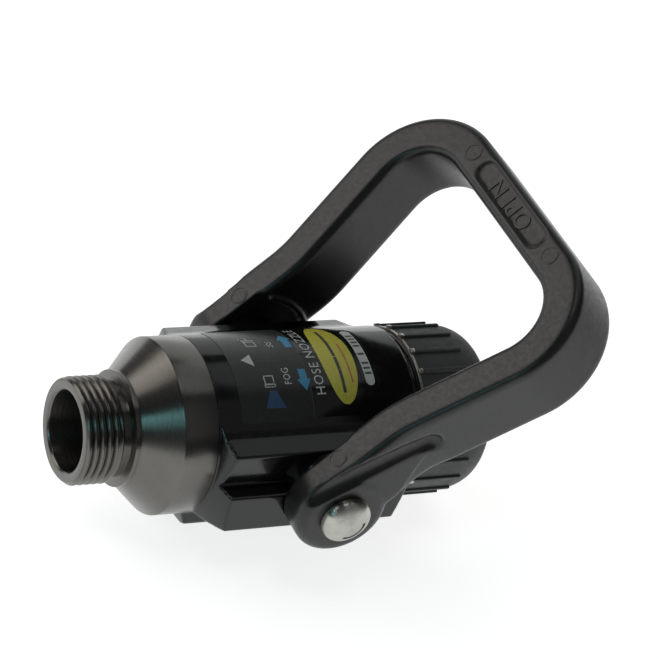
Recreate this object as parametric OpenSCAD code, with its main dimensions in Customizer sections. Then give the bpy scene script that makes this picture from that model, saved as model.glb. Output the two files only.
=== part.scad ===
// Bail-handle fog nozzle: an aluminium inlet adapter, a moulded body that houses a
// quarter-turn ball valve, a swinging bail handle, and a rubber-covered pattern sleeve.
// X runs along the waterway from the inlet face to the mouth, +Z is up, millimetres.

/* [Inlet] */
// Major diameter of the male inlet thread
thread_d = 33.25; // [28.5:0.05:42]
// Pitch of the inlet thread
thread_pitch = 2.309; // [1.2:0.001:3]
// Depth of the thread, crest to root
thread_depth = 1.48; // [0.6:0.01:1.9]
// Length of the threaded stretch from the inlet face
thread_len = 12.5; // [8:0.5:20]
// Length of the plain relief behind the thread
relief_len = 3; // [1:0.5:8]
// Diameter of the waterway through the adapter and the ball
bore_d = 25; // [18:0.5:26]

/* [Inlet adapter] */
// Diameter of the narrow collar behind the thread
collar_d = 36; // [34:0.5:44]
// Width of the narrow collar
collar_len = 1.7; // [1:0.1:6]
// Length of the cone between the collar and the band
cone_len = 10; // [4:0.5:30]
// Length of the straight band in front of the cone
band_len = 11.2; // [5:0.1:30]
// Diameter of the spigot that screws into the body
spigot_d = 45; // [43:0.5:46.5]

/* [Body] */
// Outside diameter of the body, the band and the foot of the pads
body_d = 55; // [54:0.5:66]
// Length of the moulded body
body_len = 70.4; // [66:0.2:90]
// Distance from the body's rear end to the handle pivot
pivot_from_rear = 37.3; // [34:0.1:48]
// Inside diameter of the ball chamber
chamber_d = 40.4; // [39.6:0.2:41.8]
// Half width across the upper side pads
upper_pad_y = 31.1; // [29:0.1:31.2]
// Half width across the lower side pads, just inside the handle eyes
lower_pad_y = 34.6; // [33:0.1:40]
// Height of the upper side pads above the axis
upper_pad_z = 12.8; // [8:0.1:15]
// Depth of the lower side pads below the axis
lower_pad_z = 14; // [6:0.1:15]
// Distance from the axis down to the flat base
base_z = 28.9; // [28.6:0.1:34]
// Half width of the flat base
base_y = 14.5; // [8:0.5:15.5]
// Slope of the flared ends of the pads, radius gained per unit of length
flare_slope = 2.2; // [1:0.1:4]
// Diameter of the round boss under each handle eye
boss_d = 25; // [21:0.5:30]

/* [Ball valve] */
// Diameter of the ball
ball_d = 37; // [34:0.5:38]
// Diameter of the trunnion shafts
trunnion_d = 12; // [9:0.5:14]
// Width of the seat rings along the waterway
seat_len = 10.2; // [6:0.1:10.5]
// Cross-section of the O-rings
seal_d = 1.6; // [1:0.1:2]

/* [Bail handle] */
// Angle of the closed handle above the waterway
bail_angle = 48.7; // [30:0.1:70]
// Distance from the pivot to the middle of the crossbar
reach = 97.1; // [80:0.1:130]
// Half distance between the middles of the two arms at the pivot
arm_y = 39.5; // [39:0.1:50]
// Width of the bar across
bar_w = 13; // [11:0.1:16]
// Depth of the bar behind the pivot plane
bar_back = 15; // [11:0.1:15.2]
// Depth of the bar in front of the pivot plane
bar_front = 9.5; // [6:0.1:14]
// Corner radius of the bar's section
bar_round = 2.5; // [1:0.1:5]
// Distance from the pivot at which the arms start to spread
spread_start = 26; // [22:0.5:36]
// Angle at which the arms spread
spread_angle = 14.5; // [5:0.5:20]
// Radius of the bend where the arms start to spread
spread_r = 40; // [20:1:70]
// Radius of the corners at the crossbar
corner_r = 22; // [16:0.5:30]
// Radius of the eye at the pivot
eye_r = 15.3; // [15.2:0.1:19]
// Inner radius of the skirt that covers the body's boss
skirt_r = 20.5; // [20.2:0.1:21.4]
// Wall of the skirt
skirt_wall = 2; // [1:0.1:2.4]
// Diameter of the domed pivot screw's head
dome_d = 16; // [10:0.5:20]
// Height of the domed head
dome_h = 5; // [3.6:0.1:7]
// Height of the head's straight edge under the dome
dome_wall = 2.8; // [0.5:0.1:3]

/* [Discharge] */
// Outside diameter of the barrel
barrel_d = 43; // [42:0.2:43.4]
// Diameter of the barrel's flange inside the body
flange_d = 46; // [45.4:0.2:47]
// Length of the barrel's flange
flange_len = 6; // [4:0.5:8]
// Distance from the body's front end to the barrel's mouth
barrel_reach = 24.7; // [24:0.1:34]
// Diameter of the passage at the rear of the barrel
throat_d = 27; // [26:0.5:30]
// Diameter of the passage at the barrel's mouth
mouth_d = 36; // [32:0.5:37]
// Diameter of the baffle that spreads the jet
baffle_d = 30; // [24:0.5:31]
// Thickness of the baffle's rim
baffle_len = 2.5; // [2:0.1:3]
// Diameter of the stem that holds the baffle
stem_d = 5.9; // [4:0.1:7]

/* [Pattern sleeve] */
// Diameter of the index ring behind the sleeve
ring_d = 53.2; // [50.6:0.1:53.6]
// Width of the index ring
ring_len = 1.6; // [1.2:0.1:4]
// Length of the index ring's hub under the sleeve
hub_len = 10; // [7:0.5:10.4]
// Outside diameter of the sleeve's core
core_d = 50.4; // [50:0.1:51]
// Outside diameter of the rubber between the ribs
bumper_d = 53.8; // [53:0.1:56]
// Height of the ribs
rib_h = 1.2; // [0.6:0.1:1.4]
// Width of the ribs
rib_w = 1.5; // [1:0.1:3]
// Number of ribs around the rubber
rib_count = 22; // [12:1:30]
// Length of the ribs
rib_len = 17.3; // [10:0.1:18]
// Overall length of the rubber
bumper_len = 27.9; // [26:0.1:36]
// Length of the rubber's rounded nose
nose_len = 10.2; // [6:0.1:14]
// Inside diameter of the sleeve's mouth
lip_d = 40; // [38:0.5:41]
// Travel of the sleeve from fog to straight stream
sleeve_travel = 5; // [4:0.5:5]
// Turn of the sleeve from fog to straight stream
sleeve_turn = 135; // [90:5:150]
// Diameter of the cam pins
cam_pin_d = 2.4; // [2:0.1:3]

/* [Labels] */
// Thickness of the labels
label_t = 0.12; // [0.08:0.02:0.2]
// Angle around the body of the labels' middle, from the top towards +Y
label_mid = -6.5; // [-20:0.5:20]
// Width of the oval sticker along the body
sticker_w = 12; // [6:0.5:14]
// Length of the oval sticker across the body, seen from above
sticker_l = 33; // [16:0.5:40]

/* [Hidden] */
$fn = 96;
eps = 0.01;
lap = 0.5;                            // of the slimmer stretch of the handle bar into its bends
fit_gap = 0.05;                       // between fixed pieces that slip together
run_gap = 0.08;                       // between pieces that turn or slide
ball_gap = 0.1;                       // between the ball and its seats
seat_room = 0.2;                      // from the ball's sphere to its chamber's ends

// Stations along the waterway
x_collar = thread_len + relief_len;
x_cone = x_collar + collar_len;
x_band = x_cone + cone_len;
x_body = x_band + band_len;
x_pivot = x_body + pivot_from_rear;
x_end = x_body + body_len;
x_spigot = x_pivot - ball_d / 2 - seat_room;
x_flange = x_pivot + ball_d / 2 + seat_room;
x_retainer = x_flange + flange_len;
x_ring = x_end + 0.3;
x_hub = x_ring + ring_len;
x_snap = x_hub + hub_len + 0.1;
snap_len = 1;
x_core = x_hub + 0.2;
x_land = x_snap + snap_len + 0.3;
land_len = 6;
x_cam = x_land + land_len / 2 + 1;     // of the cam pins, with the sleeve drawn back
x_mouth = x_end + barrel_reach;
x_baffle = x_mouth - 0.5;
x_front = x_core + bumper_len;

// Radii that follow the driving dimensions
body_r = body_d / 2;
barrel_r = barrel_d / 2;
hub_r = barrel_r + 1.4;
core_in_r = hub_r + run_gap;
core_r = core_d / 2;
bumper_r = bumper_d / 2;
rib_r = bumper_r + rib_h;
key_w = 4;
key_h = 1.2;
key_count = 3;
eye_in_y = arm_y - 4.5;
eye_out_y = arm_y + bar_w / 2 + 0.4;
skirt_in_y = max(eye_in_y - 3.3, body_r + 0.4);
hollow_r = skirt_r + skirt_wall - 0.3; // of the room behind the eye, partly filled by the skirt
washer_d = 20;
washer_t = eye_in_y - lower_pad_y;
drive_d = trunnion_d - 1;             // across the corners of the outer hexagon
ball_drive_d = trunnion_d - 3;        // across the corners of the inner hexagon
drive_end_y = eye_out_y - 2;
ball_drive_y = bore_d / 2 + 1.4;
screw_d = 5;
screw_end_y = eye_in_y - 2;
trunnion_seal_y = 25.15;
label_r = body_r + label_t;

// Solid of revolution about X from [x, radius] points
module turned(points) rotate([0, 90, 0]) rotate_extrude() polygon([for (p = points) [p[1], p[0]]]);

// Part of a turned ring about X, from angle a0 over a sweep, measured from +Z towards +Y
module turned_sector(a0, sweep, points)
    rotate([180 - a0 - sweep, 0, 0]) rotate([0, 90, 0])
        rotate_extrude(angle = sweep) polygon([for (p = points) [p[1], p[0]]]);

// Solid of revolution about the pivot axis from [y, radius] points, on the +Y side
module pivoted(points) rotate([-90, 0, 0]) rotate_extrude() polygon([for (p = points) [p[1], p[0]]]);

// Tube about X
module tube_x(x0, x1, r_in, r_out) turned([[x0, r_in], [x1, r_in], [x1, r_out], [x0, r_out]]);

// O-ring about X that fills a groove whose outer radius is given
module seal_x(x, r_out) translate([x, 0, 0]) rotate([0, 90, 0])
    rotate_extrude() translate([r_out - seal_d / 2, 0]) circle(d = seal_d, $fn = 32);

// Rod along Y at the pivot, drawn on the +Y side
module rod_y(y0, y1, r, sides = 96) translate([x_pivot, y0, 0]) rotate([-90, 0, 0])
    cylinder(h = y1 - y0, r = r, $fn = sides);

module far() children();
module near() mirror([0, 1, 0]) children();
module both_sides() { far() children(); near() children(); }
module at_pivot() translate([x_pivot, 0, 0]) children();
module in_bail() at_pivot() rotate([0, -bail_angle, 0]) children();

// ---- inlet -------------------------------------------------------------------------------

// Grooves between the crests of the inlet thread
module thread_grooves() {
    crest = thread_pitch * 0.2;
    lead = thread_pitch * 0.4;
    root_r = thread_d / 2 - thread_depth;
    count = floor((thread_len - lead) / thread_pitch);
    for (i = [0 : count - 1]) {
        x = lead + crest + i * thread_pitch;
        turned([[x, thread_d / 2 + 1], [x, thread_d / 2],
            [x + thread_pitch / 2 - crest / 2 - 0.1, root_r],
            [x + thread_pitch / 2 - crest / 2 + 0.1, root_r],
            [x + thread_pitch - crest, thread_d / 2], [x + thread_pitch - crest, thread_d / 2 + 1]]);
    }
}

module inlet_adapter() color([0.09, 0.09, 0.1]) difference() {
    thread_r = thread_d / 2;
    lead = thread_pitch * 0.4;
    turned([[0, bore_d / 2], [0, thread_r - 0.8], [lead, thread_r], [thread_len, thread_r],
        [thread_len, thread_r - thread_depth - 0.3], [x_collar, thread_r - thread_depth - 0.3],
        [x_collar, collar_d / 2], [x_cone, collar_d / 2], [x_band, body_r], [x_body, body_r],
        [x_body, spigot_d / 2], [x_spigot, spigot_d / 2], [x_spigot, bore_d / 2]]);
    thread_grooves();
    seal_groove(x_body + 6, spigot_d / 2);
}

// Groove for an O-ring cut into a spigot or land whose outer radius is given
module seal_groove(x, r_out)
    tube_x(x - seal_d / 2 - fit_gap, x + seal_d / 2 + fit_gap, r_out - seal_d, r_out + 1);

module adapter_seal() color([0.05, 0.05, 0.05]) seal_x(x_body + 6, spigot_d / 2 + fit_gap - 0.01);

// ---- body --------------------------------------------------------------------------------

// Half outline of the pads in the YZ plane, from the top down to the base
function pad_outline() = [
    [0, upper_pad_z + 4.9],
    [upper_pad_y - 13.1, upper_pad_z + 4.9],
    [upper_pad_y - 8.6, upper_pad_z + 3.3],
    [upper_pad_y, upper_pad_z],
    [upper_pad_y - 1.1, 2],
    [upper_pad_y - 2.4, 0.4],
    [lower_pad_y, -0.7],
    [lower_pad_y, -lower_pad_z],
    [lower_pad_y - 7.1, -lower_pad_z - 2.3],
    [body_r * 0.77, -lower_pad_z - 3.5],
    [base_y + 2.2, -body_r * 0.8],
    [base_y + 2.2, -base_z + 1.7],
    [base_y, -base_z],
    [0, -base_z]];

module pads() {
    root_r = body_r - 1.5;
    reach_r = base_z + 12;
    flare = (reach_r - root_r) / flare_slope;
    half = pad_outline();
    x0 = x_body + 0.1;
    x1 = x_end - 0.6;
    intersection() {
        translate([x0, 0, 0]) rotate([90, 0, 90]) linear_extrude(x1 - x0) {
            polygon(half);
            mirror([1, 0]) polygon(half);
        }
        turned([[x0 - 1, 0], [x0 - 1, root_r], [x0, root_r], [x0 + flare, reach_r],
            [x1 - flare, reach_r], [x1, root_r], [x1 + 1, root_r], [x1 + 1, 0]]);
    }
}

module body_shell() color([0.05, 0.05, 0.055]) difference() {
    union() {
        pads();
        turned([[x_body, 0], [x_body, body_r], [x_end - 1, body_r], [x_end, body_r - 0.6], [x_end, 0]]);
        both_sides() rod_y(0, lower_pad_y, boss_d / 2);
    }
    tube_x(x_spigot, x_flange, 0, chamber_d / 2);
    tube_x(x_body - 1, x_spigot + eps, 0, spigot_d / 2 + fit_gap);
    tube_x(x_flange - eps, x_end + 1, 0, flange_d / 2 + fit_gap);
    both_sides() rod_y(0, lower_pad_y + 1, trunnion_d / 2 + fit_gap);
    label_pocket();
}

// Shallow moulded pocket around the serial sticker
module label_pocket() {
    x = x_pivot + 17.4;
    turned_sector(label_mid - 26, 54, [[x - 2.9, body_r - 0.35], [x + 2.7, body_r - 0.35],
        [x + 2.7, body_r + 1], [x - 2.9, body_r + 1]]);
}

// Seat ring on the front side of the ball
module seat_ring() at_pivot() difference() {
    x1 = ball_d / 2 + seat_room;
    tube_x(x1 - seat_len, x1, bore_d / 2 + 0.5, chamber_d / 2 - fit_gap);
    sphere(d = ball_d + 2 * ball_gap);
}

module front_seat() color([0.93, 0.92, 0.88]) seat_ring();
module rear_seat() color([0.93, 0.92, 0.88]) translate([2 * x_pivot, 0, 0]) mirror([1, 0, 0]) seat_ring();

// ---- discharge ---------------------------------------------------------------------------

// Stepped track for one cam pin: it turns and climbs with the sleeve
module cam_track() {
    steps = 12;
    half_w = cam_pin_d / 2 + run_gap + sleeve_travel / steps / 2;
    pin_sweep = 2 * atan((cam_pin_d / 2 + run_gap) / (barrel_r - 1.6));
    for (i = [0 : steps]) {
        x = x_cam + sleeve_travel * i / steps;
        a = sleeve_turn * i / steps;
        sweep = pin_sweep + sleeve_turn / steps;
        floor_r = barrel_r - 1.7 - 0.04 * (i % 2);
        turned_sector(a - sweep / 2, sweep, [[x - half_w, floor_r], [x + half_w, floor_r],
            [x + half_w, barrel_r + 1], [x - half_w, barrel_r + 1]]);
    }
}

module front_barrel() color([0.12, 0.12, 0.13]) difference() {
    turned([[x_flange, throat_d / 2], [x_flange, flange_d / 2], [x_retainer, flange_d / 2],
        [x_retainer, barrel_r], [x_mouth, barrel_r], [x_mouth, mouth_d / 2],
        [x_mouth - 6, mouth_d / 2], [x_retainer + 8, throat_d / 2]]);
    tube_x(x_snap - 0.05, x_snap + snap_len + 0.05, barrel_r - 0.9, barrel_r + 1);
    for (a = [0, 180]) rotate([a, 0, 0]) cam_track();
}

module barrel_retainer() color([0.72, 0.6, 0.32])
    tube_x(x_retainer, x_end + 0.2, barrel_r + fit_gap, flange_d / 2);

module stem_spider() color([0.72, 0.6, 0.32]) {
    x0 = x_retainer - 1;
    x1 = x0 + 6;
    tube_x(x0, x1, throat_d / 2 - 1.2, throat_d / 2 - fit_gap);
    tube_x(x0, x1, stem_d / 2 + fit_gap, 5);
    for (a = [0, 120, 240]) rotate([a, 0, 0])
        translate([x0, -0.8, 4.5]) cube([6, 1.6, throat_d / 2 - 1 - 4.5]);
}

module baffle_stem() color([0.75, 0.75, 0.76]) {
    x0 = x_retainer - 1;
    translate([x0 - 2.5, 0, 0]) rotate([0, 90, 0]) cylinder(h = 2.5, d = 9, $fn = 6);
    tube_x(x0, x_baffle + baffle_len + 2.4, 0, stem_d / 2);
}

module baffle() color([0.72, 0.6, 0.32]) turned([[x_baffle - 16, stem_d / 2 + fit_gap], [x_baffle - 16, 5],
    [x_baffle - 6, 5.5], [x_baffle - 1.5, baffle_d / 2 - 4], [x_baffle, baffle_d / 2],
    [x_baffle + baffle_len, baffle_d / 2], [x_baffle + baffle_len, stem_d / 2 + fit_gap]]);

module stem_nut() color([0.75, 0.75, 0.76]) {
    x0 = x_baffle + baffle_len;
    difference() {
        translate([x0, 0, 0]) rotate([0, 90, 0]) cylinder(h = 3, d = 10, $fn = 6);
        tube_x(x0 - 1, x0 + 2.5, 0, stem_d / 2 + fit_gap);
    }
}

module snap_ring() color([0.6, 0.6, 0.62])
    turned_sector(20, 320, [[x_snap, barrel_r - 0.85], [x_snap + snap_len, barrel_r - 0.85],
        [x_snap + snap_len, hub_r - 0.3], [x_snap, hub_r - 0.3]]);

// ---- ball valve and handle ---------------------------------------------------------------

module ball() color([0.8, 0.8, 0.82]) difference() {
    at_pivot() sphere(d = ball_d);
    at_pivot() cylinder(h = ball_d + 2, d = bore_d, center = true);
    both_sides() rod_y(ball_drive_y - 0.05, ball_d, ball_drive_d / 2 + fit_gap, 6);
}

module trunnion() color([0.75, 0.75, 0.77]) difference() {
    union() {
        rod_y(ball_drive_y, chamber_d / 2 + 0.5, ball_drive_d / 2, 6);
        rod_y(chamber_d / 2 + 0.5, eye_in_y, trunnion_d / 2);
        rod_y(eye_in_y, drive_end_y, drive_d / 2, 6);
    }
    rod_y(screw_end_y, drive_end_y + 1, screw_d / 2);
    groove_r = trunnion_d / 2 - seal_d + fit_gap;
    at_pivot() pivoted([[trunnion_seal_y - fit_gap, groove_r], [trunnion_seal_y + seal_d + fit_gap, groove_r],
        [trunnion_seal_y + seal_d + fit_gap, trunnion_d], [trunnion_seal_y - fit_gap, trunnion_d]]);
}

module trunnion_seal() color([0.05, 0.05, 0.05]) at_pivot() rotate([-90, 0, 0])
    translate([0, 0, trunnion_seal_y + seal_d / 2]) rotate_extrude()
        translate([trunnion_d / 2 + 0.03 - seal_d / 2, 0]) circle(d = seal_d - 0.05, $fn = 32);

module thrust_washer() color([0.9, 0.9, 0.86]) difference() {
    rod_y(lower_pad_y + 0.03, eye_in_y, washer_d / 2);
    rod_y(lower_pad_y - 1, eye_in_y + 1, trunnion_d / 2 + fit_gap);
}

// Screw with a domed head that clamps the handle to the trunnion
module pivot_screw() color([0.85, 0.85, 0.84]) {
    cap_h = dome_h - dome_wall;
    cap_r = (pow(dome_d / 2, 2) + pow(cap_h, 2)) / (2 * cap_h);
    rod_y(screw_end_y + 1, eye_out_y, screw_d / 2 - fit_gap);
    intersection() {
        rod_y(eye_out_y, eye_out_y + dome_h, dome_d / 2);
        translate([x_pivot, eye_out_y + dome_h - cap_r, 0]) sphere(r = cap_r);
    }
}

module trunnion_far() far() trunnion();
module trunnion_near() near() trunnion();
module trunnion_seal_far() far() trunnion_seal();
module trunnion_seal_near() near() trunnion_seal();
module thrust_washer_far() far() thrust_washer();
module thrust_washer_near() near() thrust_washer();
module pivot_screw_far() far() pivot_screw();
module pivot_screw_near() near() pivot_screw();

// Section of the handle bar: across in X, depth in Y, drawn from square and round pieces
module bar_section(inset = 0) translate([inset - bar_w / 2, inset - bar_front]) {
    width = bar_w - 2 * inset;
    depth = bar_front + bar_back - 2 * inset;
    translate([bar_round, 0]) square([width - 2 * bar_round, depth]);
    translate([0, bar_round]) square([width, depth - 2 * bar_round]);
    for (x = [bar_round, width - bar_round], y = [bar_round, depth - bar_round])
        translate([x, y]) circle(r = bar_round, $fn = 32);
}

module straight_bar(v, y, direction, length, inset = 0) translate([v, y, 0]) rotate([0, 0, direction])
    rotate([90, 0, 90]) linear_extrude(length) bar_section(inset);

module bent_bar(v, y, radius, start, sweep) translate([v, y, 0]) rotate([0, 0, start])
    rotate_extrude(angle = sweep) translate([radius, 0]) bar_section();

// One arm, from the eye to the middle of the crossbar, on the +Y side
module arm() {
    bend_v = spread_start + spread_r * sin(spread_angle);
    bend_y = arm_y + spread_r * (1 - cos(spread_angle));
    corner_v = reach - corner_r;
    tangent_v = corner_v - corner_r * sin(spread_angle);
    tangent_y = bend_y + (tangent_v - bend_v) * tan(spread_angle);
    corner_y = tangent_y - corner_r * cos(spread_angle);
    straight_bar(0, arm_y, 0, spread_start);
    bent_bar(spread_start, arm_y + spread_r, spread_r, -90, spread_angle);
    straight_bar(bend_v - lap * cos(spread_angle), bend_y - lap * sin(spread_angle), spread_angle,
        (tangent_v - bend_v) / cos(spread_angle) + 2 * lap, 0.03);
    bent_bar(corner_v, corner_y, corner_r, 0, 90 + spread_angle);
    straight_bar(reach, -eps, 90, corner_y + eps);
}

// Round eye with a rounded outer edge
module eye() {
    round_r = 3;
    pivoted([[eye_in_y, 0], [eye_in_y, eye_r], [eye_out_y - round_r, eye_r],
        for (a = [15 : 15 : 75]) [eye_out_y - round_r + round_r * sin(a), eye_r - round_r + round_r * cos(a)],
        [eye_out_y, eye_r - round_r], [eye_out_y, 0]]);
}

// Thin lip on the arm's inner side that wraps the body's boss
module skirt() intersection() {
    pivoted([[skirt_in_y, skirt_r], [skirt_in_y, skirt_r + skirt_wall],
        [eye_in_y + 1, skirt_r + skirt_wall], [eye_in_y + 1, skirt_r]]);
    translate([10, 0, -bar_front]) cube([30, 60, bar_front + bar_back - 2]);
}

module bail_handle() color([0.13, 0.13, 0.13]) difference() {
    in_bail() both_sides() {
        difference() {
            arm();
            pivoted([[0, 0], [0, hollow_r], [eye_in_y, hollow_r], [eye_in_y, 0]]);
        }
        eye();
        skirt();
    }
    both_sides() {
        rod_y(0, drive_end_y, drive_d / 2 + fit_gap, 6);
        rod_y(0, eye_out_y + 1, screw_d / 2 + 0.2);
    }
}

// ---- pattern sleeve ----------------------------------------------------------------------

module keys(width, r_out, x0, x1) for (i = [0 : key_count - 1]) rotate([60 + i * 360 / key_count, 0, 0])
    translate([x0, -width / 2, hub_r - 0.5]) cube([x1 - x0, width, r_out - hub_r + 0.5]);

module index_ring() color([0.1, 0.1, 0.1]) {
    turned([[x_ring, barrel_r + run_gap], [x_ring, ring_d / 2 - 0.3], [x_ring + 0.3, ring_d / 2],
        [x_hub, ring_d / 2], [x_hub, hub_r], [x_hub + hub_len, hub_r],
        [x_hub + hub_len, barrel_r + run_gap]]);
    keys(key_w, hub_r + key_h, x_hub - 0.5, x_hub + hub_len);
}

module sleeve_core() color([0.6, 0.6, 0.56]) difference() {
    union() {
        turned([[x_core, core_in_r], [x_core, rib_r - 0.9], [x_core + 0.9, rib_r - 0.9],
            [x_core + 0.9, core_r], [x_front - 3, core_r], [x_front - 3, lip_d / 2 + 1],
            [x_mouth + 0.4, barrel_r + run_gap], [x_land, barrel_r + run_gap], [x_land, core_in_r]]);
        core_lugs(0);
    }
    keys(key_w + 0.3, core_in_r + key_h + 0.1, x_core - 1, x_land);
    seal_groove_inside(x_land + 1.4);
    for (a = [0, 180]) rotate([a, 0, 0]) translate([x_cam, 0, 0])
        cylinder(h = core_r + 1, d = cam_pin_d + 2 * fit_gap);
}

// Small lugs of the core that lock into the rubber, one behind each rib
module core_lugs(gap) for (i = [0 : rib_count - 1]) rotate([rib_angle(i), 0, 0])
    translate([x_core + 0.2, -rib_w / 2 - gap, core_r - 0.3])
        cube([1.6 + gap, rib_w + 2 * gap, rib_r - core_r + 0.2 + gap]);

// Angle of a rib about X, so that a rib pair straddles the top of the sleeve
function rib_angle(i) = 5.9 + i * 360 / rib_count;

module seal_groove_inside(x)
    tube_x(x - seal_d / 2 - fit_gap, x + seal_d / 2 + fit_gap, barrel_r - 1, barrel_r + seal_d + 0.1);

module sleeve_seal() color([0.05, 0.05, 0.05]) seal_x(x_land + 1.4, barrel_r + seal_d + 0.05);

module cam_pins() color([0.75, 0.75, 0.76]) for (a = [0, 180]) rotate([a, 0, 0])
    translate([x_cam, 0, barrel_r - 1.5]) cylinder(h = core_r - barrel_r + 1.4, d = cam_pin_d);

module bumper() color([0.2, 0.21, 0.2]) difference() {
    bumper_rubber();
    core_lugs(fit_gap);
}

module bumper_rubber() {
    nose_x = x_front - nose_len;
    edge_r = lip_d / 2 + 1.6;
    nose_h = bumper_r - edge_r;
    turned([[x_core + 1, core_r + fit_gap], [x_core + 1, bumper_r],
        for (a = [0 : 15 : 90]) [nose_x + nose_len * sin(a), edge_r + nose_h * cos(a)],
        [x_front, lip_d / 2 + 0.4], [x_front - 0.4, lip_d / 2], [x_front - 2.9, lip_d / 2],
        [x_front - 2.9, core_r + fit_gap]]);
    for (i = [0 : rib_count - 1]) rotate([rib_angle(i), 0, 0])
        translate([x_core + 1.9, -rib_w / 2, core_r + 0.5])
            cube([rib_len, rib_w, rib_r - core_r - 0.5]);
}

// ---- labels ------------------------------------------------------------------------------

// Printed label, cut back where it meets the bosses
module spray_label() color([0.22, 0.23, 0.23]) difference() {
    turned_sector(label_mid - 43.5, 87, [[x_body + 7.7, body_r], [x_body + 33.1, body_r],
        [x_body + 33.1, label_r], [x_body + 7.7, label_r]]);
    both_sides() rod_y(0, lower_pad_y, boss_d / 2 + 0.2);
}

// Thin skin of a label: what a straight prism cuts from a shell on the body
module label_skin(x, bottom_r) intersection() {
    tube_x(x - 20, x + 20, bottom_r, bottom_r + label_t);
    rotate([-label_mid, 0, 0]) translate([x, 0, 0]) children();
}

module blank_sticker() color([0.8, 0.78, 0.25]) label_skin(x_pivot + 7.7, body_r)
    linear_extrude(body_r + 1)
        polygon([for (a = [0 : 10 : 350]) [sticker_w / 2 * cos(a), sticker_l / 2 * sin(a)]]);

module serial_sticker() color([0.85, 0.86, 0.84]) label_skin(x_pivot + 17.2, body_r - 0.35)
    linear_extrude(body_r + 1) {
        square([3.2, 20], center = true);
        for (y = [-10, 10]) translate([0, y]) circle(d = 3.2, $fn = 32);
    }

inlet_adapter();
adapter_seal();
rear_seat();
body_shell();
front_seat();
front_barrel();
barrel_retainer();
stem_spider();
baffle_stem();
baffle();
stem_nut();
snap_ring();
ball();
trunnion_near();
trunnion_far();
trunnion_seal_near();
trunnion_seal_far();
thrust_washer_near();
thrust_washer_far();
bail_handle();
pivot_screw_near();
pivot_screw_far();
index_ring();
sleeve_core();
cam_pins();
sleeve_seal();
bumper();
spray_label();
blank_sticker();
serial_sticker();
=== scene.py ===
import math

import bmesh
import bpy
from bpy.props import FloatProperty, IntProperty, PointerProperty
from mathutils import Matrix, Vector


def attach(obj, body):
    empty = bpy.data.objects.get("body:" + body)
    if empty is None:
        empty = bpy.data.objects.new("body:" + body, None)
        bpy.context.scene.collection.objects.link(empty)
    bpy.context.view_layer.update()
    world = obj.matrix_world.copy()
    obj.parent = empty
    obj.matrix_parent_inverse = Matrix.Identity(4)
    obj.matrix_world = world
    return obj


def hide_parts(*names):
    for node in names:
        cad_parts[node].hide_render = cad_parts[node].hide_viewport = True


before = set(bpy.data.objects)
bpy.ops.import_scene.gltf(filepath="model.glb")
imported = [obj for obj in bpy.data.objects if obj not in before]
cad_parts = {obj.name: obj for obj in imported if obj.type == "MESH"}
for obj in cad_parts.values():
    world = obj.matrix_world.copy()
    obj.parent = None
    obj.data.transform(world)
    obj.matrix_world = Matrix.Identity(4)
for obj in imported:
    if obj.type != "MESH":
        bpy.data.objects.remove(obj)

bl_info = {
    "name": "Fog Nozzle Builder",
    "version": (1, 0, 0),
    "blender": (4, 5, 0),
    "location": "View3D > Sidebar > Nozzle",
    "description": "Builds a bail-handle fog nozzle piece by piece, and its studio",
    "category": "Object",
}

MM = 0.001
X_AXIS, Y_AXIS, Z_AXIS = Vector((1, 0, 0)), Vector((0, 1, 0)), Vector((0, 0, 1))

# Stations along the waterway, in millimetres from the inlet face
X_BODY, X_PIVOT, X_END = 38.4, 75.7, 108.8
X_RING, X_CORE, X_FRONT = 109.1, 110.9, 138.8
LABEL_MID = -6.5


# ---- meshes ------------------------------------------------------------------------------


def merged(bm, distance=0.002):
    """Merge doubled vertices, then point every face outwards."""
    bmesh.ops.remove_doubles(bm, verts=bm.verts[:], dist=distance)
    bmesh.ops.recalc_face_normals(bm, faces=bm.faces[:])


def new_object(name, bm):
    """Object from a mesh drawn in millimetres."""
    merged(bm)
    bmesh.ops.scale(bm, vec=(MM, MM, MM), verts=bm.verts[:])
    mesh = bpy.data.meshes.new(name)
    bm.to_mesh(mesh)
    bm.free()
    obj = bpy.data.objects.new(name, mesh)
    bpy.context.scene.collection.objects.link(obj)
    return obj


def turn(bm, points, axis=X_AXIS, closed=True, steps=128, angle=2 * math.pi, start=None):
    """Spin [along, radius] points about an axis through the origin."""
    outward = start or (Z_AXIS if axis is X_AXIS else X_AXIS)
    verts = [bm.verts.new(axis * a + outward * r) for a, r in points]
    pairs = list(zip(verts, verts[1:]))
    if closed:
        pairs.append((verts[-1], verts[0]))
    edges = [bm.edges.new(pair) for pair in pairs]
    whole = abs(angle) > 6.28
    made = bmesh.ops.spin(
        bm,
        geom=verts + edges,
        cent=(0, 0, 0),
        axis=axis,
        angle=angle,
        steps=steps,
        use_merge=whole,
    )
    if not whole and closed:
        bm.faces.new(verts)
        last = [v for v in made["geom_last"] if isinstance(v, bmesh.types.BMVert)]
        bmesh.ops.contextual_create(bm, geom=last)


def turned(points, axis=X_AXIS, steps=128, round_by=0.0, segments=2):
    """Closed ring of a profile, with its sharp edges rounded."""
    bm = bmesh.new()
    turn(bm, points, axis, True, steps)
    merged(bm)
    if round_by:
        round_edges(bm, round_by, segments)
    return bm


def round_edges(bm, width, segments=2, angle=28):
    """Round every edge sharper than an angle."""
    limit = math.radians(angle)
    sharp = [e for e in bm.edges if len(e.link_faces) == 2 and e.calc_face_angle(0) > limit]
    bmesh.ops.bevel(
        bm,
        geom=sharp,
        offset=width,
        segments=segments,
        profile=0.5,
        affect="EDGES",
        clamp_overlap=True,
        material=-1,
    )


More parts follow.
